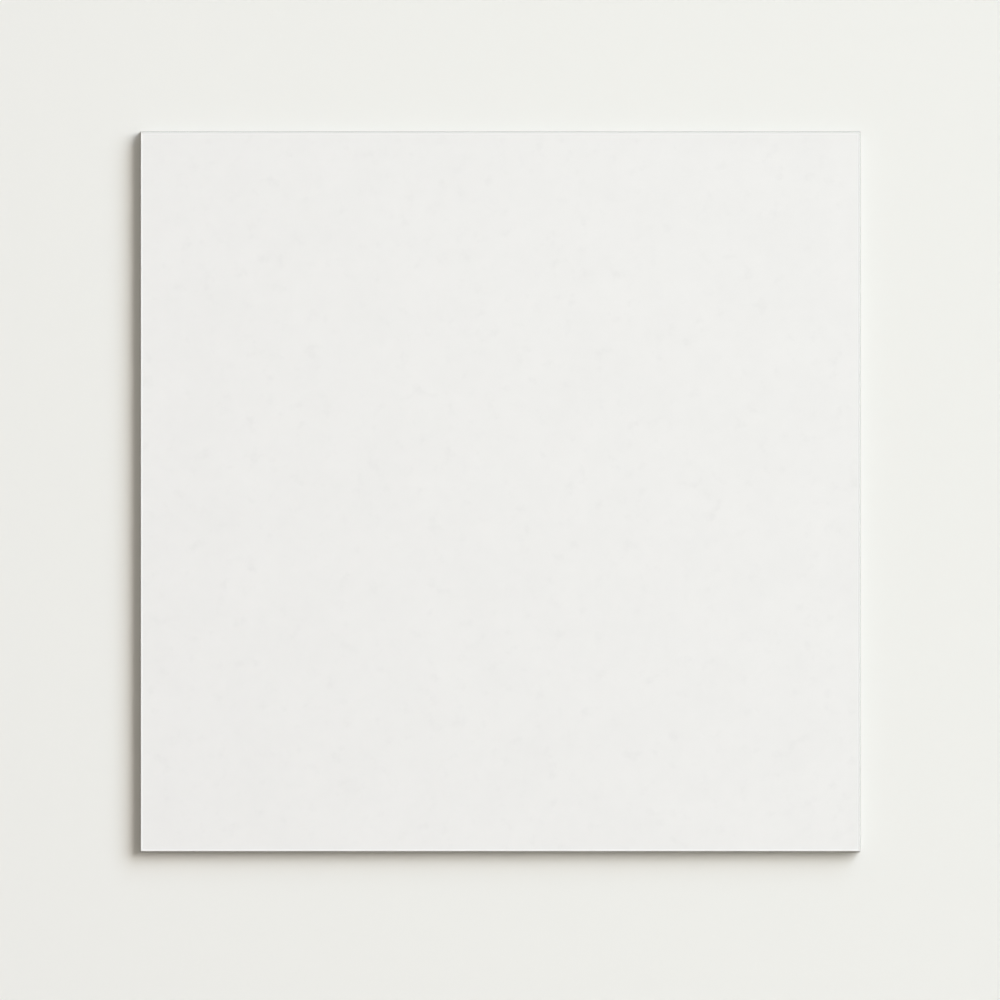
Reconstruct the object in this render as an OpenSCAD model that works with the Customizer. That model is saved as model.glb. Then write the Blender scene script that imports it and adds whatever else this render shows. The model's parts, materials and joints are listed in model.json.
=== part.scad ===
// Square porcelain floor and wall tile, pressed, fired and ground to size.
// Millimetres. The origin is the centre of the back, where the tile beds, and the face looks up +Z.

/* [Tile] */
// Size of the tile along X, across its ground sides
tile_x = 600; // [300:10:900]
// Size of the tile along Y, across its ground sides
tile_y = 600; // [300:10:900]
// Thickness, from the tops of the back ribs to the face
tile_t = 10; // [7:0.5:20]

/* [Ground edges] */
// Width of the bevel round the face, seen from above
bevel_w = 1; // [0.4:0.1:2.5]
// Height of the bevel, down the side of the tile
bevel_h = 1; // [0.4:0.1:2.5]
// Size of the small arris taken off round the back
back_arris = 0.4; // [0.1:0.1:1]

/* [Pressed back] */
// Width of one square pocket at its mouth
pocket_w = 28; // [20:1:60]
// Width of the flat top of a rib between two pockets
rib_w = 4; // [2:0.5:10]
// Depth of a pocket
pocket_d = 0.6; // [0.3:0.1:1.5]
// How far each pocket wall leans in, from the mouth to the floor
draft_w = 0.6; // [0.2:0.1:2]
// Least width of the plain rim between the sides and the pockets
rim_w = 12; // [5:1:30]

/* [Hidden] */
// How far a cutting or crossing shape runs past what it crosses
past = 5;
// From one pocket to the next
pitch = pocket_w + rib_w;
// As many pockets as fit between the rims in each direction
pockets_x = floor((tile_x - 2 * rim_w + rib_w) / pitch);
pockets_y = floor((tile_y - 2 * rim_w + rib_w) / pitch);

// Outline of the tile cut across one direction: the ground sides stand upright, the face
// has its bevel and the back its arris.
module cross_section(across) {
  side = across / 2;
  polygon([
    [-side + back_arris, 0],
    [side - back_arris, 0],
    [side, back_arris],
    [side, tile_t - bevel_h],
    [side - bevel_w, tile_t],
    [-side + bevel_w, tile_t],
    [-side, tile_t - bevel_h],
    [-side, back_arris]
  ]);
}

// A section drawn in X and Z, run along Y past both ends of the tile.
module run_along_y(length) {
  rotate([90, 0, 0])
    linear_extrude(height = length + 2 * past, center = true)
      children();
}

// The blank: where the section across X and the section across Y meet, the bevels
// join in mitres at the four sharp corners.
module blank() {
  intersection() {
    run_along_y(tile_y) cross_section(tile_x);
    rotate([0, 0, 90]) run_along_y(tile_x) cross_section(tile_y);
  }
}

// Section of a row of drafted grooves, centred, with their mouths on the back plane.
module groove_row(count) {
  mouth = pocket_w / 2;
  floor_edge = mouth - draft_w;
  for (i = [0 : count - 1])
    translate([(i - (count - 1) / 2) * pitch, 0])
      polygon([
        [-mouth, -past],
        [mouth, -past],
        [mouth, 0],
        [floor_edge, pocket_d],
        [-floor_edge, pocket_d],
        [-mouth, 0]
      ]);
}

// The pockets: grooves along Y crossed with grooves along X, so that all four walls
// of each pocket have the draft that lets the pressed blank leave the punch.
module pockets() {
  intersection() {
    run_along_y(tile_y) groove_row(pockets_x);
    rotate([0, 0, 90]) run_along_y(tile_x) groove_row(pockets_y);
  }
}

module tile() {
  color([0.93, 0.93, 0.91])
    difference() {
      blank();
      pockets();
    }
}

tile();
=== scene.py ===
# %% [markdown]
# A white porcelain tile, seen from straight above
#
# This script dresses one square floor and wall tile, 600 mm across and 10 mm thick, pressed from
# porcelain stoneware, glazed matt white, fired hard and then ground square. There is hardly any shape
# to hide behind, so the likeness rests on four quiet things: the soft shadow along two sides, the fine
# ground bevel, the faint clouding of the glaze, and a light level at which white stays just under white.
# Everything is in metres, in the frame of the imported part: the back lies in the plane Z = 0, the middle
# of the back is the origin, and the face looks up.

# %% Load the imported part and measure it
import json
import math

import bmesh
import bpy
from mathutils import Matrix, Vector

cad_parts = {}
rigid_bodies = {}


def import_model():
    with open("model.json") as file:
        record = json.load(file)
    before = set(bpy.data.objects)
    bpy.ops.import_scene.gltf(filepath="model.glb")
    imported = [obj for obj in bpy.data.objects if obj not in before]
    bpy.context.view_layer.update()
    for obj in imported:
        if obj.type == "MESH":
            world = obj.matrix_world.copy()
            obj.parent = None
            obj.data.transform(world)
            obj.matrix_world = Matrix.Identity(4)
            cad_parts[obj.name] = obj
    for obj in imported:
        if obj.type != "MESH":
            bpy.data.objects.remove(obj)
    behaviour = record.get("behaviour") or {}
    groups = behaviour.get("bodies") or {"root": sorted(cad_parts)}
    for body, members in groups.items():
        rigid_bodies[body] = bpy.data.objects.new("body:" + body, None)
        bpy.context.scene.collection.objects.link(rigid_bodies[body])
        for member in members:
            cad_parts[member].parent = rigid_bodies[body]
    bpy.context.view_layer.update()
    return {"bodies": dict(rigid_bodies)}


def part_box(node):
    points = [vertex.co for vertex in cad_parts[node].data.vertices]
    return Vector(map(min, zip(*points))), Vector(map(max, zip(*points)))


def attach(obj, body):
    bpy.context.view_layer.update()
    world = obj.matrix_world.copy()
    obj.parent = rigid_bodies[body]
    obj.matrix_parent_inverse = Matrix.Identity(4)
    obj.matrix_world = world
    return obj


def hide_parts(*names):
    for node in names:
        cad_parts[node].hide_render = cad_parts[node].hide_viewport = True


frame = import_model()

MM = 0.001
BODY = next(iter(frame["bodies"]))
NODE = "tile"
low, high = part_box(NODE)
HALF_X = (high.x - low.x) / 2
HALF_Y = (high.y - low.y) / 2
THICK = high.z - low.z
print(f"tile: {HALF_X * 2 / MM:.1f} x {HALF_Y * 2 / MM:.1f} x {THICK / MM:.1f} mm")

# %% [markdown]
# The camera looks straight down, as in the photograph, where no side of the tile shows and the
# opposite edges stay parallel. A long lens far away gives that look. A shift of the lens could move the
# tile up in the picture, but moving the whole camera does the same without bending anything, so the
# camera stands a few millimetres below the middle of the tile, along -Y.

# %% Stand the camera over the tile
PICTURE_PX = 1000
TILE_SPAN_PX = 720.6
TILE_MIDDLE_PX = (500.15, 491.8)
LENS_MM = 300
SENSOR_MM = 36
FURTHEST_SEEN = 100

metres_per_px = HALF_X * 2 / TILE_SPAN_PX
view_width = metres_per_px * PICTURE_PX
camera_height = THICK + view_width * LENS_MM / SENSOR_MM
camera_x = (PICTURE_PX / 2 - TILE_MIDDLE_PX[0]) * metres_per_px
camera_y = (TILE_MIDDLE_PX[1] - PICTURE_PX / 2) * metres_per_px

camera_data = bpy.data.cameras.new("camera")
camera_data.lens = LENS_MM
camera_data.sensor_width = SENSOR_MM
camera_data.clip_end = FURTHEST_SEEN
camera = bpy.data.objects.new("camera", camera_data)
camera.location = (camera_x, camera_y, camera_height)
bpy.context.collection.objects.link(camera)
bpy.context.scene.camera = camera
bpy.context.scene.view_settings.view_transform = "Standard"
print(f"camera {camera_height:.2f} m up, {view_width / MM:.0f} mm of floor across the picture")

# %% [markdown]
# Light and finishes are both made of shader nodes. A node tree could be drawn by hand in the editor,
# but a script can be read, changed and run again. These helpers keep it short: each one adds a node,
# fills its sockets, and gives back the node or its result.

# %% Helpers for node trees
def new_group(name, inputs, outputs):
    """An empty shader group. Inputs are given as name: default value, outputs as names."""
    group = bpy.data.node_groups.new(name, "ShaderNodeTree")
    for label, value in inputs.items():
        is_vector = isinstance(value, tuple)
        kind = "NodeSocketVector" if is_vector else "NodeSocketFloat"
        socket = group.interface.new_socket(label, in_out="INPUT", socket_type=kind)
        socket.default_value = value
    for label in outputs:
        group.interface.new_socket(label, in_out="OUTPUT", socket_type="NodeSocketFloat")
    return group, group.nodes.new("NodeGroupInput"), group.nodes.new("NodeGroupOutput")


def add_node(tree, kind, settings=None, **inputs):
    """A node with its settings made, and its inputs set to a value or linked from a socket.

    An input is given by its name, or as _0, _1 or _2 where several of a node's inputs share a name.
    """
    node = tree.nodes.new(kind)
    for label, value in (settings or {}).items():
        setattr(node, label, value)
    for label, value in inputs.items():
        socket = node.inputs[int(label[1:])] if label[1:].isdigit() else node.inputs[label]
        if isinstance(value, bpy.types.NodeSocket):
            tree.links.new(value, socket)
        else:
            socket.default_value = value
    return node


def math_node(tree, operation, a, b=0.0):
    node = add_node(tree, "ShaderNodeMath", {"operation": operation}, _0=a, _1=b)
    return node.outputs["Value"]


def place(tree, stretch):
    """Object coordinates in metres, multiplied by the stretch socket."""
    coordinates = tree.nodes.new("ShaderNodeTexCoord")
    scaled = add_node(
        tree,
        "ShaderNodeVectorMath",
        {"operation": "MULTIPLY"},
        _0=coordinates.outputs["Object"],
        _1=stretch,
    )
    return scaled.outputs["Vector"]


def remapped(tree, value, from_range, to_range, smooth=True):
    """A value moved from one range to another, with soft or straight ends."""
    node = add_node(
        tree,
        "ShaderNodeMapRange",
        {"interpolation_type": "SMOOTHSTEP" if smooth else "LINEAR"},
        Value=value,
    )
    node.inputs["From Min"].default_value, node.inputs["From Max"].default_value = from_range
    node.inputs["To Min"].default_value, node.inputs["To Max"].default_value = to_range
    return node.outputs["Result"]


def mixed(tree, factor, first, second):
    """A colour between two others, by a factor from 0 to 1."""
    node = tree.nodes.new("ShaderNodeMix")
    node.data_type = "RGBA"
    tree.links.new(factor, node.inputs["Factor"])
    sockets = [s for s in node.inputs if s.type == "RGBA"]
    for value, socket in zip((first, second), sockets):
        if isinstance(value, bpy.types.NodeSocket):
            tree.links.new(value, socket)
        else:
            socket.default_value = (*value, 1)
    return next(s for s in node.outputs if s.type == "RGBA")


# %% [markdown]
# The shadow in the photograph has a narrow dark core and a long pale tail, and it is wider on the left
# than below. One tall upright window to the right gives just that: its head lights the floor close to
# the tile, its foot only reaches the floor further out. The window is given in tangents: so far to each
# side, and so high at foot and head, for each metre of distance. An area lamp could stand in for it,
# but a lamp a few metres away leaves the far floor dark. This window is painted on the sky instead,
# endlessly far away, and the floor is lit evenly all the way to the horizon.
#
# A colour comes out of the render much as it is written when the light on it adds up to about 1. The
# window, an even glow and a weak lamp share that out. Here the window is added up in small squares, to
# find how bright it must be for its share, and where the middle of its light is.

# %% Measure the window
WINDOW_HEADING = math.radians(16)
WINDOW_FOOT, WINDOW_HEAD = 0.32, 1.46
WINDOW_RIGHT, WINDOW_LEFT = -0.19, 1.18
WINDOW_SHARE = 0.627
WINDOW_SQUARES = 40


def measure_window():
    """The light on a level spot for a brightness of 1, and the middle of that light as (side, up)."""
    total = 0
    weighted = Vector((0, 0))
    step_up = (WINDOW_HEAD - WINDOW_FOOT) / WINDOW_SQUARES
    step_side = (WINDOW_LEFT - WINDOW_RIGHT) / WINDOW_SQUARES
    for i in range(WINDOW_SQUARES):
        up = WINDOW_FOOT + (i + 0.5) * step_up
        for j in range(WINDOW_SQUARES):
            side = WINDOW_RIGHT + (j + 0.5) * step_side
            light = up / (1 + up**2 + side**2) ** 2 * step_up * step_side
            total += light
            weighted += light * Vector((side, up))
    return total, weighted / total


window_light, window_middle = measure_window()
window_brightness = WINDOW_SHARE * math.pi / window_light
print(f"window {window_brightness:.2f} bright for a share of {WINDOW_SHARE}")
print(f"middle of its light: {window_middle.x:.2f} to the side, {window_middle.y:.2f} up")

# %% [markdown]
# On the sky the window is a mask. The direction that a ray looks in is turned, so that the window lies
# ahead along X, and divided by its X. That leaves the two tangents, and the window is where both lie
# between their ends.

# %% Helpers for the window's mask
def between(tree, value, low_end, high_end):
    """1 where the value lies between two ends, else 0."""
    node = add_node(
        tree,
        "ShaderNodeMath",
        {"operation": "COMPARE"},
        _0=value,
        _1=(low_end + high_end) / 2,
        _2=(high_end - low_end) / 2,
    )
    return node.outputs["Value"]


def window_mask(tree):
    """1 in the directions of the sky where the window is, else 0, and their two tangents."""
    sky = tree.nodes.new("ShaderNodeTexCoord")
    turned = add_node(
        tree,
        "ShaderNodeVectorRotate",
        {"rotation_type": "Z_AXIS"},
        Vector=sky.outputs["Generated"],
        Angle=-WINDOW_HEADING,
    )
    parts = add_node(tree, "ShaderNodeSeparateXYZ", Vector=turned.outputs["Vector"])
    ahead = parts.outputs["X"]
    side = math_node(tree, "DIVIDE", parts.outputs["Y"], ahead)
    up = math_node(tree, "DIVIDE", parts.outputs["Z"], ahead)
    in_width = between(tree, side, WINDOW_RIGHT, WINDOW_LEFT)
    in_height = between(tree, up, WINDOW_FOOT, WINDOW_HEAD)
    in_front = math_node(tree, "GREATER_THAN", ahead, 0.0)
    in_both = math_node(tree, "MULTIPLY", in_width, in_height)
    return math_node(tree, "MULTIPLY", in_both, in_front), side, up


# %% [markdown]
# The window shares the work with an even glow from all round. The glow's share is how bright the core
# of the shadow stays. It is a touch warmer than the window, because the shadow in the photograph leans
# to brown. The brown goes on far out into the shadow's tail, where a warm glow alone doesn't bring it.
# So the window is cool at its foot, the part that the tile hides from the floor first, and warm at its
# head. It is warmer to the right as well, the part that still lights the floor just below the tile.
#
# The camera's own rays meet neither: they see a backdrop in the tone that the far floor works out to,
# so that low views show no horizon. Nothing here is metal or glass, so no other ray needs to see it. A
# wall round the scene could hide the horizon too, but would throw light and shade of its own.

# %% Light the world
WINDOW_TINT = (0.964, 1.0, 1.051)
WARMTH_TINT = (0.25, 0.0, -0.27)
WARMTH_LEAN = 0.42
GLOW_SHARE = 0.312
GLOW_TINT = (1.088, 1.0, 0.916)
FLOOR_COLOUR = (0.867, 0.865, 0.824)


def warmth_at(side, up):
    """How far a place on the window lies towards its warm upper right."""
    return up - WARMTH_LEAN * side


def window_tint(side, up):
    """The window's colour at a place on it. It is WINDOW_TINT at the middle of its light."""
    warmth = warmth_at(side, up) - warmth_at(*window_middle)
    return [tint * (1 + more * warmth) for tint, more in zip(WINDOW_TINT, WARMTH_TINT)]


def light_world(backdrop_colour):
    """Glow and window for all rays but the camera's own, which see only the backdrop."""
    world = bpy.data.worlds.new("studio")
    bpy.context.scene.world = world
    world.use_nodes = True
    tree = world.node_tree
    tree.nodes.clear()
    mask, side, up = window_mask(tree)
    coolest = (WINDOW_LEFT, WINDOW_FOOT)
    warmest = (WINDOW_RIGHT, WINDOW_HEAD)
    warmth = math_node(tree, "SUBTRACT", up, math_node(tree, "MULTIPLY", side, WARMTH_LEAN))
    ends = (warmth_at(*coolest), warmth_at(*warmest))
    toward_warm = remapped(tree, warmth, ends, (0.0, 1.0), smooth=False)
    window = add_node(
        tree,
        "ShaderNodeBackground",
        Color=mixed(tree, toward_warm, window_tint(*coolest), window_tint(*warmest)),
        Strength=math_node(tree, "MULTIPLY", mask, window_brightness),
    )
    glow = add_node(tree, "ShaderNodeBackground", Color=(*GLOW_TINT, 1), Strength=GLOW_SHARE)
    sky = add_node(tree, "ShaderNodeAddShader", _0=glow.outputs[0], _1=window.outputs[0])
    backdrop = add_node(tree, "ShaderNodeBackground", Color=(*backdrop_colour, 1))
    path = tree.nodes.new("ShaderNodeLightPath")
    seen = add_node(
        tree,
        "ShaderNodeMixShader",
        _0=path.outputs["Is Camera Ray"],
        _1=sky.outputs[0],
        _2=backdrop.outputs[0],
    )
    out = tree.nodes.new("ShaderNodeOutputWorld")
    tree.links.new(seen.outputs[0], out.inputs["Surface"])


tints = zip(FLOOR_COLOUR, WINDOW_TINT, GLOW_TINT)
far_floor = [f * (WINDOW_SHARE * w + GLOW_SHARE * g) for f, w, g in tints]
light_world(far_floor)
print("far floor and backdrop:", ", ".join(f"{part:.3f}" for part in far_floor))

# %% [markdown]
# Last comes a weak lamp overhead whose pool of light fades across the tile, and makes its upper right
# corner a little lighter than its lower left. The pool could come from a lamp that hangs beside the
# tile, but such a lamp draws a second small shadow inside the window's. So the lamp hangs right over
# the tile, where it casts next to none, and is turned aside until only the slope of its pool falls
# there. It is faintly green, since the floor in the photograph turns from green to pink as it
# darkens. A lamp of P watts sheds P / (4 pi h^2) on what lies h metres below it, and a level of pi
# counts as a share of 1.

# %% Hang the lamp for the pool of light
POOL_SHARE = 0.088
POOL_TINT = (0.85, 1.0, 0.93)
POOL_CENTRE = (1.16, 0.59)
POOL_ANGLE = math.radians(48)
LAMP_HEIGHT = 5.0
LAMP_RADIUS = 0.5

pool_data = bpy.data.lights.new("pool_of_light", "SPOT")
pool_data.spot_size = POOL_ANGLE
pool_data.spot_blend = 1.0
pool_data.energy = POOL_SHARE * math.pi * (4 * math.pi * LAMP_HEIGHT**2)
pool_data.color = POOL_TINT
pool_data.shadow_soft_size = LAMP_RADIUS
pool_lamp = bpy.data.objects.new("pool_of_light", pool_data)
pool_lamp.location = (0, 0, LAMP_HEIGHT)
aim = Vector((*POOL_CENTRE, -LAMP_HEIGHT))
pool_lamp.rotation_euler = aim.to_track_quat("-Z", "Y").to_euler()
bpy.context.collection.objects.link(pool_lamp)
print(f"pool lamp {pool_data.energy:.1f} W")

# %% [markdown]
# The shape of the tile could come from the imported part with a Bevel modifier, but then the arrises
# of the back pockets and the long sides would share one setting, and the pockets would keep their
# knife-sharp corners. Here the tile is built ring by ring. A section is drawn once as a short outline
# with a radius at each corner, `eased` turns each corner into a small arc, and the section is then
# carried round a rectangle whose corners are round in plan.

# %% Helpers for sections and rings
CORNER_STEPS = 4
CORNER_POINTS = CORNER_STEPS + 1
ARC_STEPS = 3


def eased(outline, radii):
    """The outline's points, with each inner corner replaced by an arc of its radius."""
    points = [Vector(outline[0])]
    for before, corner, after, radius in zip(outline, outline[1:], outline[2:], radii):
        corner = Vector(corner)
        back = (Vector(before) - corner).normalized()
        on = (Vector(after) - corner).normalized()
        half_turn = (math.pi - back.angle(on)) / 2
        reach = radius * math.tan(half_turn)
        middle = corner + (back + on).normalized() * (radius / math.cos(half_turn))
        first = (corner + back * reach - middle) / radius
        last = (corner + on * reach - middle) / radius
        for step in range(ARC_STEPS + 1):
            points.append(middle + first.slerp(last, step / ARC_STEPS) * radius)
    return points + [Vector(outline[-1])]


def ring(half_x, half_y, radius, z, centre=(0, 0)):
    """Points round a rectangle with round corners, counter-clockwise seen from above."""
    points = []
    for quarter, (side_x, side_y) in enumerate([(1, 1), (-1, 1), (-1, -1), (1, -1)]):
        for step in range(CORNER_POINTS):
            angle = (quarter + step / CORNER_STEPS) * math.pi / 2
            x = centre[0] + side_x * (half_x - radius) + radius * math.cos(angle)
            y = centre[1] + side_y * (half_y - radius) + radius * math.sin(angle)
            points.append((x, y, z))
    return points


def corner_arc(points, quarter):
    """The points at one corner of a ring, and the first point of the corner after it."""
    start = quarter * CORNER_POINTS
    end = start + CORNER_POINTS
    return points[start:end], points[end % len(points)]


class Shell:
    """Collects the faces of one closed mesh, each with its finish and whether it is shaded smooth."""

    def __init__(self):
        self.mesh = bmesh.new()

    def verts(self, points):
        return [self.mesh.verts.new(point) for point in points]

    def face(self, verts, finish, smooth=False):
        made = self.mesh.faces.new(verts)
        made.material_index = finish
        made.smooth = smooth

    def band(self, upper, lower, finish, smooth):
        """Joins two rings of as many points with a belt of quads."""
        for i in range(len(upper)):
            j = (i + 1) % len(upper)
            self.face([upper[i], lower[i], lower[j], upper[j]], finish, smooth)


# %% [markdown]
# The rim of the tile. After firing, a wheel grinds each side upright and takes a 1 mm bevel off the
# face, so the white glaze ends part of the way down the bevel and the greyer body shows below it. The
# section runs from the face over the bevel, down the side and under the back arris. One extra point on
# the bevel marks where glaze gives way to body, so that the two finishes meet on a true edge. A mask
# in one material could draw that line too, but it would blur in a model with painted-on textures.

# %% Build the face, the bevel and the ground sides
GLAZED, GROUND, RAW = range(3)
BEVEL = 1.0 * MM
BACK_ARRIS = 0.4 * MM
ARRIS_RADIUS = 0.12 * MM
GLAZE_DEPTH = 0.45 * MM
PLAN_RADIUS = 0.25 * MM
EDGE_BAND = 5.0 * MM
BACK_MARGIN = 0.6 * MM

shell = Shell()
upper_section = eased(
    [
        (EDGE_BAND, THICK),
        (BEVEL, THICK),
        (BEVEL - GLAZE_DEPTH, THICK - GLAZE_DEPTH),
    ],
    [ARRIS_RADIUS],
)
lower_section = eased(
    [
        (BEVEL - GLAZE_DEPTH, THICK - GLAZE_DEPTH),
        (0, THICK - BEVEL),
        (0, BACK_ARRIS),
        (BACK_ARRIS, 0),
        (BACK_ARRIS + BACK_MARGIN, 0),
    ],
    [ARRIS_RADIUS] * 3,
)


def rim_ring(inset, z):
    return shell.verts(ring(HALF_X - inset, HALF_Y - inset, PLAN_RADIUS, z))


def run_section(first_ring, section, finish):
    """Carries a section round the tile from first_ring to the last ring, which it gives back.

    Only the arcs are shaded smooth.
    """
    above = first_ring
    for n, (inset, z) in enumerate(section[1:]):
        below = rim_ring(inset, z)
        on_arc = n % (ARC_STEPS + 1) != 0
        shell.band(above, below, finish, smooth=on_arc)
        above = below
    return above


face_ring = rim_ring(*upper_section[0])
shell.face(face_ring, GLAZED)
glaze_end = run_section(face_ring, upper_section, GLAZED)
back_ring = run_section(glaze_end, lower_section, GROUND)
print(f"rim: {len(shell.mesh.verts)} points, {len(shell.mesh.faces)} faces")

# %% [markdown]
# The back. A press punch leaves shallow square pockets there, with leaning walls so that the green
# tile lets go, and ribs between them that stand on the floor or key into the adhesive. An Array
# modifier or a Boolean could repeat the pockets, but both leave loose or ragged faces to clean up. Here
# each pocket is a stack of rings that share the part's own sizes: pocket and rib width, depth and lean.
# The ribs are flat pieces between the pockets, drawn once for each cell of the grid.

# %% Press the pockets into the back
POCKET = 28 * MM
RIB = 4 * MM
DEPTH = 0.6 * MM
LEAN = 0.6 * MM
LEAST_RIM = 12 * MM
MOUTH_CORNER = 2.4 * MM
POCKET_RADIUS = 0.3 * MM

pitch = POCKET + RIB
count_x = int((HALF_X * 2 - 2 * LEAST_RIM + RIB) / pitch)
count_y = int((HALF_Y * 2 - 2 * LEAST_RIM + RIB) / pitch)
pocket_section = eased(
    [(-POCKET_RADIUS, 0), (0, 0), (LEAN, DEPTH), (LEAN + POCKET_RADIUS, DEPTH)],
    [POCKET_RADIUS] * 2,
)[1:-1]


def grid_corner(i, j):
    return shell.mesh.verts.new(
        ((i - count_x / 2) * pitch, (j - count_y / 2) * pitch, 0)
    )


def press_pocket(i, j):
    """One cell of the back: the rib round a pocket, its arris, its leaning wall and its floor."""
    centre = ((i + 0.5 - count_x / 2) * pitch, (j + 0.5 - count_y / 2) * pitch)
    rings = []
    for inset, z in pocket_section:
        half = POCKET / 2 - inset
        rings.append(
            shell.verts(ring(half, half, MOUTH_CORNER - inset, z, centre))
        )
    for n, (outer, inner) in enumerate(zip(rings, rings[1:])):
        on_wall = n == ARC_STEPS
        shell.band(outer, inner, RAW, smooth=not on_wall)
    shell.face(rings[-1][::-1], RAW)
    mouth = rings[0]
    corners = [grid[i + 1][j + 1], grid[i][j + 1], grid[i][j], grid[i + 1][j]]
    for quarter, corner in enumerate(corners):
        arc, next_point = corner_arc(mouth, quarter)
        for a, b in zip(arc, arc[1:]):
            shell.face([corner, a, b], RAW)
        next_corner = corners[(quarter + 1) % len(corners)]
        shell.face([corner, arc[-1], next_point, next_corner], RAW)


grid = [[grid_corner(i, j) for j in range(count_y + 1)] for i in range(count_x + 1)]
for i in range(count_x):
    for j in range(count_y):
        press_pocket(i, j)
print(f"back: {count_x} x {count_y} pockets, {len(shell.mesh.faces)} faces so far")

# %% [markdown]
# The plain rim of the back is four long flat pieces between the outermost ribs and the ring that
# the back arris ends on. Each is one face with a point at every rib, and four small fans turn the
# corners. With them the mesh is closed: every edge has exactly two faces, and the cell counts those
# that don't.

# %% Close the back with its plain rim
top_edge = [grid[i][count_y] for i in range(count_x, -1, -1)]
left_edge = [grid[0][j] for j in range(count_y, -1, -1)]
low_edge = [grid[i][0] for i in range(count_x + 1)]
right_edge = [grid[count_x][j] for j in range(count_y + 1)]
for quarter, edge in enumerate([top_edge, left_edge, low_edge, right_edge]):
    arc, next_point = corner_arc(back_ring, quarter)
    for a, b in zip(arc, arc[1:]):
        shell.face([edge[0], b, a], RAW)
    shell.face([arc[-1], *edge, next_point], RAW)

bmesh.ops.recalc_face_normals(shell.mesh, faces=shell.mesh.faces[:])
open_edges = [edge for edge in shell.mesh.edges if len(edge.link_faces) != 2]
triangles = sum(len(face.verts) - 2 for face in shell.mesh.faces)
print(f"tile mesh: {triangles} triangles, {len(open_edges)} open edges")

# %% [markdown]
# The finishes below are worked out in space, so the render needs no UV map. But a model that is
# passed on carries its finishes as painted-on pictures, and a map says where each face lies on the
# picture. Blender's own unwrapping could lay it out, but it leaves half of the picture empty, and the
# painted highlight line along the edge comes out one pixel wide. Here the picture is shared out by
# hand, in a map whose name the export looks for. Here the picture is shared out in given rows, in a
# map of its own. The face lies flat on the upper half, and the band along its edge is spread over more
# pixels than its share. The back lies under it as seen from below, and the four sides are rolled out
# as strips at the foot.

# %% Map the tile for painted-on pictures
MAP_NAME = "OFBake"
FACE_ROWS = (0.455, 1.0)
BACK_ROWS = (0.078, 0.447)
STRIP_PITCH = 0.018
STRIP_SPARE = 1.5 * MM
EDGE_SHARE = 0.035
SIDES = [Vector(way) for way in ((1, 0), (0, 1), (-1, 0), (0, -1))]


def spread(offset, half):
    """A place from -half to half as one from 0 to 1. The band at each end takes up EDGE_SHARE."""
    inner = half - EDGE_BAND
    in_middle = min(abs(offset), inner) / inner * (0.5 - EDGE_SHARE)
    in_band = max(abs(offset) - inner, 0) / EDGE_BAND * EDGE_SHARE
    return 0.5 + math.copysign(in_middle + in_band, offset)


def in_rows(rows, share):
    return rows[0] + share * (rows[1] - rows[0])


def side_of(face):
    """The number of the side that a ground face belongs to."""
    centre = face.calc_center_median().xy
    return max(range(len(SIDES)), key=lambda k: centre.dot(SIDES[k]))


def on_strip(point, side):
    """A point of a side rolled out: along the side, and up it from the back arris to the bevel."""
    out = SIDES[side]
    half_along, half_out = (HALF_Y, HALF_X) if out.x else (HALF_X, HALF_Y)
    inset = half_out - point.xy.dot(out)
    height = point.z + (inset if point.z > THICK / 2 else -inset)
    up = (height + STRIP_SPARE) / (THICK + 2 * STRIP_SPARE)
    along = point.xy.dot(out.orthogonal()) / half_along
    return 0.5 + along / 2, (side + up) * STRIP_PITCH


def on_face(point):
    return spread(point.x, HALF_X), in_rows(FACE_ROWS, spread(point.y, HALF_Y))


def on_back(point):
    return 0.5 - point.x / HALF_X / 2, in_rows(BACK_ROWS, 0.5 + point.y / HALF_Y / 2)


def map_face(face):
    for loop in face.loops:
        point = loop.vert.co
        if face.material_index == GLAZED:
            loop[uv_map].uv = on_face(point)
        elif face.material_index == GROUND:
            loop[uv_map].uv = on_strip(point, side_of(face))
        else:
            loop[uv_map].uv = on_back(point)


uv_map = shell.mesh.loops.layers.uv.new(MAP_NAME)
for face in shell.mesh.faces:
    map_face(face)
print(f"map: {MAP_NAME}, {len(SIDES)} strips, a face and a back")

# %% [markdown]
# So far the tile is a bmesh, a workshop copy that no view or render shows. It could have been built in
# Edit mode, straight in an object, but a script is simpler when it switches no modes. Here the copy is
# written into a mesh that stays, and an object at the origin shows it, because the place of the tile is
# in its points.

# %% Put the tile into the scene
tile_mesh = bpy.data.meshes.new("tile")
shell.mesh.to_mesh(tile_mesh)
shell.mesh.free()
tile = bpy.data.objects.new("porcelain_tile", tile_mesh)
bpy.context.collection.objects.link(tile)
print(f"object: {tile.name}, {len(tile_mesh.polygons)} faces")

# %% [markdown]
# Three effects come back in more than one finish, so each is a node group with sockets of its own.
# The first is clouding: glaze, body and kiln dust are never one even colour. A painted picture could
# hold the clouds, but it would fit one size of tile only. Noise that is worked out in space, from the
# object's own coordinates in metres, has no seams and keeps its real size. It has a fourth coordinate,
# the seed, so that two finishes never show the same clouds.

# %% Group: soft clouds
CLOUD_ROUGHNESS = 0.55
CLOUD_GAIN = 4.0


def build_clouds():
    """Noise in several sizes, about -1 to 1 and 0 on the whole."""
    group, given, out = new_group(
        "Soft clouds",
        {"Size": 0.04, "Detail": 3.0, "Seed": 0.0, "Stretch": (1.0, 1.0, 1.0)},
        ["Cloud"],
    )
    noise = add_node(
        group,
        "ShaderNodeTexNoise",
        {"noise_dimensions": "4D"},
        Vector=place(group, given.outputs["Stretch"]),
        W=given.outputs["Seed"],
        Scale=math_node(group, "DIVIDE", 1.0, given.outputs["Size"]),
        Detail=given.outputs["Detail"],
        Roughness=CLOUD_ROUGHNESS,
    )
    centred = math_node(group, "SUBTRACT", noise.outputs["Fac"], 0.5)
    strong = math_node(group, "MULTIPLY", centred, CLOUD_GAIN)
    group.links.new(strong, out.inputs["Cloud"])
    return group


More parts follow.
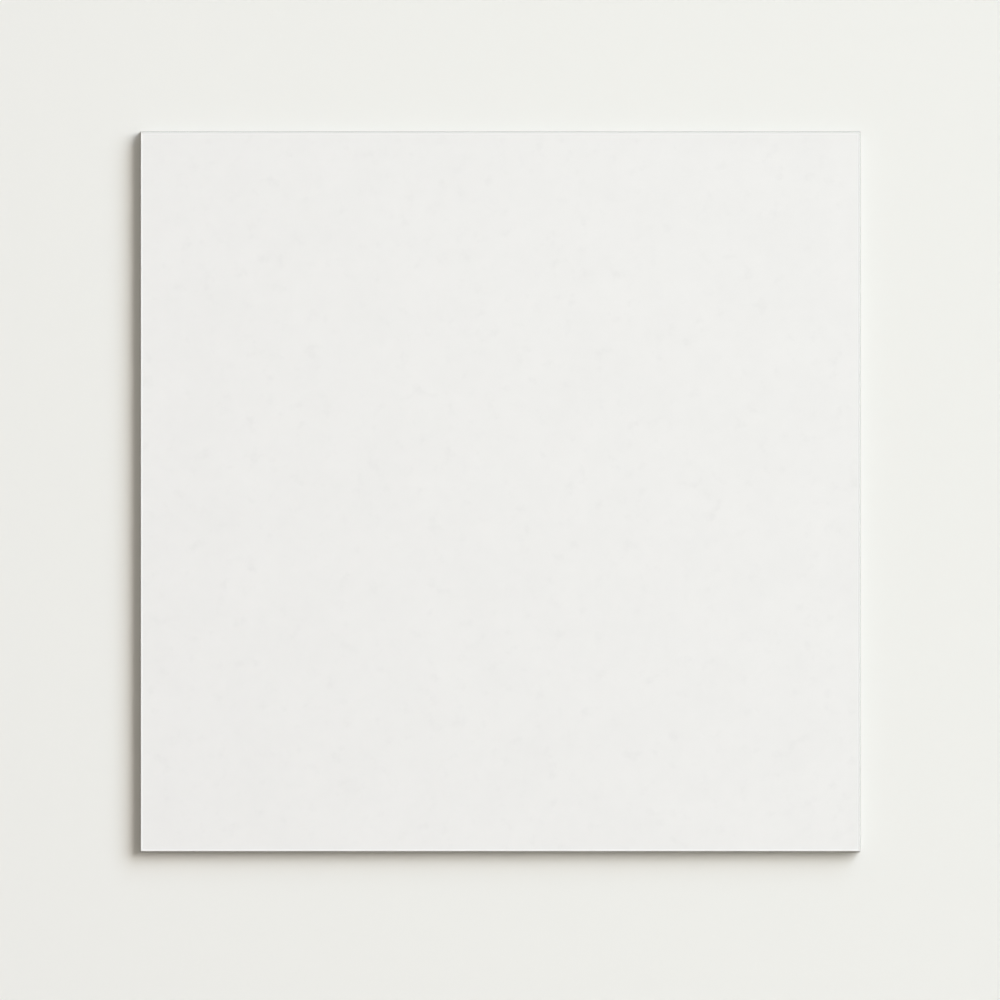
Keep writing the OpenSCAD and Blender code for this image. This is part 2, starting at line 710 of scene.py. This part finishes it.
CLOUDS = build_clouds()
print("group:", CLOUDS.name)

# %% [markdown]
# The second is specks: dark mineral grains, which a wheel cuts through on the sides and the kiln
# leaves standing on the back. They could be scattered as tiny discs of their own, but thousands of
# them would cost more than the whole tile. A cell pattern does it: each cell has one point at random,
# the distance to it draws a round spot, and the cell's random colour says whether it has one and how
# large it is.

# %% Group: scattered flecks
FLECK_SIZES = (0.4, 1.2)
FLECK_CORE = 0.35


def build_flecks():
    """Small spots at random places. Only some cells of the pattern have one, as Share says."""
    group, given, out = new_group(
        "Scattered flecks",
        {"Spacing": 0.02, "Radius": 0.002, "Share": 0.5, "Stretch": (1.0, 1.0, 1.0)},
        ["Fleck"],
    )
    cells = add_node(
        group,
        "ShaderNodeTexVoronoi",
        Vector=place(group, given.outputs["Stretch"]),
        Scale=math_node(group, "DIVIDE", 1.0, given.outputs["Spacing"]),
    )
    chance = add_node(group, "ShaderNodeSeparateColor", Color=cells.outputs["Color"])
    away = math_node(
        group, "MULTIPLY", cells.outputs["Distance"], given.outputs["Spacing"]
    )
    size = remapped(group, chance.outputs["Green"], (0.0, 1.0), FLECK_SIZES, smooth=False)
    radius = math_node(group, "MULTIPLY", size, given.outputs["Radius"])
    radii_away = math_node(group, "DIVIDE", away, radius)
    spot = remapped(group, radii_away, (FLECK_CORE, 1.0), (1.0, 0.0))
    kept = math_node(group, "LESS_THAN", chance.outputs["Red"], given.outputs["Share"])
    strength = math_node(group, "MULTIPLY", spot, kept)
    varied = math_node(group, "MULTIPLY", strength, size)
    group.links.new(varied, out.inputs["Fleck"])
    return group


FLECKS = build_flecks()
print("group:", FLECKS.name)

# %% [markdown]
# The third is grain, the skin of a fired surface, finer than a millimetre. Real bumps that small
# would need millions of faces, so it only drives roughness and bump. Stretch draws it out: the marks of
# the grinding wheel are the same grain, pulled along the side.

# %% Group: fine grain
GRAIN_ROUGHNESS = 0.6


def build_grain():
    """Fine noise from 0 to 1, most of it near a half."""
    group, given, out = new_group(
        "Fine grain",
        {"Size": 0.0006, "Detail": 2.0, "Stretch": (1.0, 1.0, 1.0)},
        ["Grain"],
    )
    noise = add_node(
        group,
        "ShaderNodeTexNoise",
        Vector=place(group, given.outputs["Stretch"]),
        Scale=math_node(group, "DIVIDE", 1.0, given.outputs["Size"]),
        Detail=given.outputs["Detail"],
        Roughness=GRAIN_ROUGHNESS,
    )
    group.links.new(noise.outputs["Fac"], out.inputs["Grain"])
    return group


GRAIN = build_grain()
print("group:", GRAIN.name)

# %% [markdown]
# Every finish below is one Principled BSDF, fed by groups through mixes. These helpers place a group
# with its own values, and stack bumps of a real height. Clouds stray a little past -1 and 1 where two
# of them add up, and grain seldom leaves the middle of its range, so the two usual ranges are named
# here.

# %% Helpers for materials
CLOUD_RANGE = (-1.2, 1.2)
GRAIN_RANGE = (0.3, 0.7)


def new_material(name):
    """A material with its Principled BSDF, for the helpers below to feed."""
    material = bpy.data.materials.new(name)
    material.use_nodes = True
    return material, material.node_tree, material.node_tree.nodes["Principled BSDF"]


def use_group(tree, group, **inputs):
    """Places a group with its own values, and gives back its one output."""
    node = tree.nodes.new("ShaderNodeGroup")
    node.node_tree = group
    for label, value in inputs.items():
        node.inputs[label].default_value = value
    return node.outputs[0]


def bumped(tree, shader, *layers):
    """Feeds the shader's normal from layers of (height socket, height in metres)."""
    normal = None
    for height, metres in layers:
        bump = add_node(tree, "ShaderNodeBump", Height=height, Strength=1.0)
        bump.inputs["Distance"].default_value = metres
        if normal is not None:
            tree.links.new(normal, bump.inputs["Normal"])
        normal = bump.outputs["Normal"]
    tree.links.new(normal, shader.inputs["Normal"])


# %% [markdown]
# The glaze of the face. It is a matt white, a hair warm, and looks plain until the contrast is turned
# up: then it shows slow clouds a few centimetres across and small uneven patches of a faint grey, where
# thinner glaze lets the body through. All of it stays within a few hundredths of the colour. Round
# spots would look too regular for the patches, so they are the high parts of a noise.
#
# Along the edge the glaze is a little thicker: a bump raises a low lip there. A thin light line follows
# it, and that line is a painted highlight: a whiter colour along all four edges in place of light caught
# by the edge. On the bevel the wheel has cut into the glaze, and the cut is duller. All this could be
# strips of mesh with finishes of their own, but a material that knows how far a point lies from the
# edge, by the object's coordinates, draws it with soft ends and no extra face.

# %% Finish: matt white glaze
GLAZE_WHITE = (0.880, 0.873, 0.849)
GLAZE_SHADE = (0.856, 0.850, 0.827)
PATCH_GREY = (0.838, 0.832, 0.810)
PATCH_RANGE = (0.15, 1.15)
FINE_CLOUDS = 0.6
# Painted highlight: the whiter colour of the thin line along the face's edge, and where that line lies.
PAINTED_HIGHLIGHT_WHITE = (0.93, 0.928, 0.91)
HIGHLIGHT_LINE_IN = 1.05 * MM
HIGHLIGHT_LINE_FADE = (0.25 * MM, 0.7 * MM)
CUT_WHITE = (0.710, 0.695, 0.678)
CUT_BLEND = 0.05 * MM
LIP_HEIGHT = 0.12 * MM
LIP_WIDTH = 1.3 * MM
GLAZE_ROUGH = (0.5, 0.58)
GLAZE_WAVE = 0.012 * MM
GLAZE_GRAIN = 0.006 * MM


def distance_from_edge(tree):
    """How far a point lies inside the face's own edge, in metres. It is negative on the bevel."""
    coordinates = tree.nodes.new("ShaderNodeTexCoord")
    parts = add_node(
        tree, "ShaderNodeSeparateXYZ", Vector=coordinates.outputs["Object"]
    )
    across = math_node(tree, "ABSOLUTE", parts.outputs["X"])
    along = math_node(tree, "ABSOLUTE", parts.outputs["Y"])
    to_x = math_node(tree, "SUBTRACT", HALF_X - BEVEL, across)
    to_y = math_node(tree, "SUBTRACT", HALF_Y - BEVEL, along)
    return math_node(tree, "MINIMUM", to_x, to_y)


def cloudy_white(tree):
    """The colour of the glaze away from the edge."""
    slow = use_group(tree, CLOUDS, Size=0.045, Detail=4.0, Seed=1.3)
    fine = use_group(tree, CLOUDS, Size=0.011, Detail=2.0, Seed=5.2)
    mottle = use_group(tree, CLOUDS, Size=0.0125, Detail=3.0, Seed=9.1)
    both = math_node(tree, "ADD", slow, math_node(tree, "MULTIPLY", fine, FINE_CLOUDS))
    shade = remapped(tree, both, CLOUD_RANGE, (0.0, 1.0), smooth=False)
    clouded = mixed(tree, shade, GLAZE_WHITE, GLAZE_SHADE)
    patches = remapped(tree, mottle, PATCH_RANGE, (0.0, 1.0))
    return mixed(tree, patches, clouded, PATCH_GREY)


def glaze_material():
    material, tree, shader = new_material("matt_white_glaze")
    inside = distance_from_edge(tree)
    # The painted highlight: a whiter line just inside the edge, in place of light caught by the edge.
    off_highlight = math_node(tree, "ABSOLUTE", math_node(tree, "SUBTRACT", inside, HIGHLIGHT_LINE_IN))
    on_highlight = remapped(tree, off_highlight, HIGHLIGHT_LINE_FADE, (1.0, 0.0))
    highlighted = mixed(tree, on_highlight, cloudy_white(tree), PAINTED_HIGHLIGHT_WHITE)
    on_bevel = remapped(tree, inside, (-CUT_BLEND, CUT_BLEND), (1.0, 0.0))
    tree.links.new(mixed(tree, on_bevel, highlighted, CUT_WHITE), shader.inputs["Base Color"])
    grain = use_group(tree, GRAIN, Size=0.0011, Detail=3.0)
    wave = use_group(tree, GRAIN, Size=0.004, Detail=1.0)
    lip = remapped(tree, inside, (0.0, LIP_WIDTH), (1.0, 0.0))
    rough = remapped(tree, grain, GRAIN_RANGE, GLAZE_ROUGH, smooth=False)
    tree.links.new(rough, shader.inputs["Roughness"])
    bumped(tree, shader, (lip, LIP_HEIGHT), (wave, GLAZE_WAVE), (grain, GLAZE_GRAIN))
    return material


glaze = glaze_material()
print("finish:", glaze.name)

# %% [markdown]
# The ground sides and the lower part of the bevel show the fired body: grey and slightly warm, with
# fine mineral specks, and streaks that the wheel drew along the side. In the photograph it shows only
# as the narrow line of the bevel. An image of brushed stone would have to be laid round four corners.
# The streaks here are the fine grain stretched: a point is moved slowly along X and Y and fast along
# Z, so that the same noise turns into long level lines on all four sides.

# %% Finish: ground porcelain body
BODY_GREY = (0.391, 0.375, 0.357)
BODY_DARK = (0.30, 0.29, 0.275)
SPECK_DARK = (0.20, 0.195, 0.185)
WHEEL_STRETCH = (0.02, 0.02, 1.0)
STREAK_RANGE = (0.55, 0.75)
HALF_WAY = (0.0, 0.5)
GROUND_ROUGH = (0.55, 0.75)
GROUND_GRAIN = 0.01 * MM
STREAK_DEPTH = 0.02 * MM


def ground_material():
    material, tree, shader = new_material("ground_porcelain_body")
    cloud = use_group(tree, CLOUDS, Size=0.012, Detail=5.0, Seed=4.1)
    speck = use_group(tree, FLECKS, Spacing=0.0016, Radius=0.0004, Share=0.45)
    marks = use_group(tree, GRAIN, Size=0.0003, Detail=2.0, Stretch=WHEEL_STRETCH)
    grain = use_group(tree, GRAIN, Size=0.0004, Detail=2.0)
    shade = remapped(tree, cloud, CLOUD_RANGE, HALF_WAY, smooth=False)
    clouded = mixed(tree, shade, BODY_GREY, BODY_DARK)
    streak = remapped(tree, marks, STREAK_RANGE, HALF_WAY)
    streaked = mixed(tree, streak, clouded, BODY_DARK)
    specked = mixed(tree, speck, streaked, SPECK_DARK)
    tree.links.new(specked, shader.inputs["Base Color"])
    rough = remapped(tree, marks, GRAIN_RANGE, GROUND_ROUGH, smooth=False)
    tree.links.new(rough, shader.inputs["Roughness"])
    bumped(tree, shader, (grain, GROUND_GRAIN), (marks, STREAK_DEPTH))
    return material


ground = ground_material()
print("finish:", ground.name)

# %% [markdown]
# The back is the same body as it left the kiln, unground: duller, a little browner, and dusted on
# the ribs with the white wash that keeps tiles from sticking to the kiln rollers. A second mesh of dust
# could lie on the ribs, but dust this thin has no height. The wash is a cloud that only counts near
# Z = 0, since the rollers touch nothing but the ribs, and it is drawn out along Y, the way the tile
# travelled.

# %% Finish: raw back with kiln wash
RAW_BEIGE = (0.56, 0.53, 0.485)
RAW_DARK = (0.44, 0.41, 0.37)
WASH_WHITE = (0.80, 0.79, 0.76)
TRAVEL_STRETCH = (1.0, 0.25, 1.0)
RAW_SHADES = (0.0, 0.6)
RIB_RANGE = (0.02 * MM, 0.2 * MM)
WASH_IN_POCKETS = 0.08
WASH_RANGE = (-0.4, 0.9)
WASH_COVER = (0.15, 0.85)
RAW_ROUGH = (0.75, 0.9)
RAW_GRAIN = 0.03 * MM


def raw_material():
    material, tree, shader = new_material("raw_fired_back")
    cloud = use_group(tree, CLOUDS, Size=0.05, Detail=6.0, Seed=7.7)
    speck = use_group(tree, FLECKS, Spacing=0.004, Radius=0.0006, Share=0.4)
    grain = use_group(tree, GRAIN, Size=0.0006, Detail=3.0)
    wash = use_group(
        tree, CLOUDS, Size=0.014, Detail=6.0, Seed=2.2, Stretch=TRAVEL_STRETCH
    )
    shade = remapped(tree, cloud, CLOUD_RANGE, RAW_SHADES, smooth=False)
    clouded = mixed(tree, shade, RAW_BEIGE, RAW_DARK)
    specked = mixed(tree, speck, clouded, RAW_DARK)
    coordinates = tree.nodes.new("ShaderNodeTexCoord")
    parts = add_node(
        tree, "ShaderNodeSeparateXYZ", Vector=coordinates.outputs["Object"]
    )
    on_rib = remapped(tree, parts.outputs["Z"], RIB_RANGE, (1.0, WASH_IN_POCKETS))
    cover = remapped(tree, wash, WASH_RANGE, WASH_COVER)
    dusted = mixed(tree, math_node(tree, "MULTIPLY", on_rib, cover), specked, WASH_WHITE)
    tree.links.new(dusted, shader.inputs["Base Color"])
    rough = remapped(tree, grain, GRAIN_RANGE, RAW_ROUGH, smooth=False)
    tree.links.new(rough, shader.inputs["Roughness"])
    bumped(tree, shader, (grain, RAW_GRAIN))
    return material


raw = raw_material()
print("finish:", raw.name)

# %% [markdown]
# The mesh has numbered its faces as glazed, ground or raw, and its finishes go on in that order. The
# tile then rides on the part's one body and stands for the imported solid, which is hidden but keeps
# its place.

# %% Dress the tile
for finish in (glaze, ground, raw):
    tile_mesh.materials.append(finish)
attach(tile, BODY)
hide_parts(NODE)
print(f"{tile.name} rides on {BODY} and replaces {NODE}")

# %% [markdown]
# The floor is one wide pale sheet a tenth of a millimetre below the tile, so that the two don't
# fight for the same plane. Its colour is close to that of the glaze, as in the photograph, where the
# tile stands out by its shadow and by the line of its bevel and hardly at all by its colour. A paper
# sweep that bends up behind the tile would be the usual studio way, but low views would show the bend.

# %% Lay the floor
FLOOR_HALF = 60.0
FLOOR_DROP = 0.1 * MM
FLOOR_ROUGH = 0.9


def lay_floor():
    mesh = bpy.data.meshes.new("floor")
    reach = [(-1, -1), (1, -1), (1, 1), (-1, 1)]
    corners = [(x * FLOOR_HALF, y * FLOOR_HALF, low.z - FLOOR_DROP) for x, y in reach]
    mesh.from_pydata(corners, [], [(0, 1, 2, 3)])
    floor = bpy.data.objects.new("floor", mesh)
    bpy.context.collection.objects.link(floor)
    material, tree, shader = new_material("pale_floor")
    shader.inputs["Base Color"].default_value = (*FLOOR_COLOUR, 1)
    shader.inputs["Roughness"].default_value = FLOOR_ROUGH
    shader.inputs["Specular IOR Level"].default_value = 0.0
    mesh.materials.append(material)


lay_floor()
print(f"floor {FLOOR_HALF * 2:.0f} m across, {FLOOR_DROP / MM:.1f} mm below the tile")
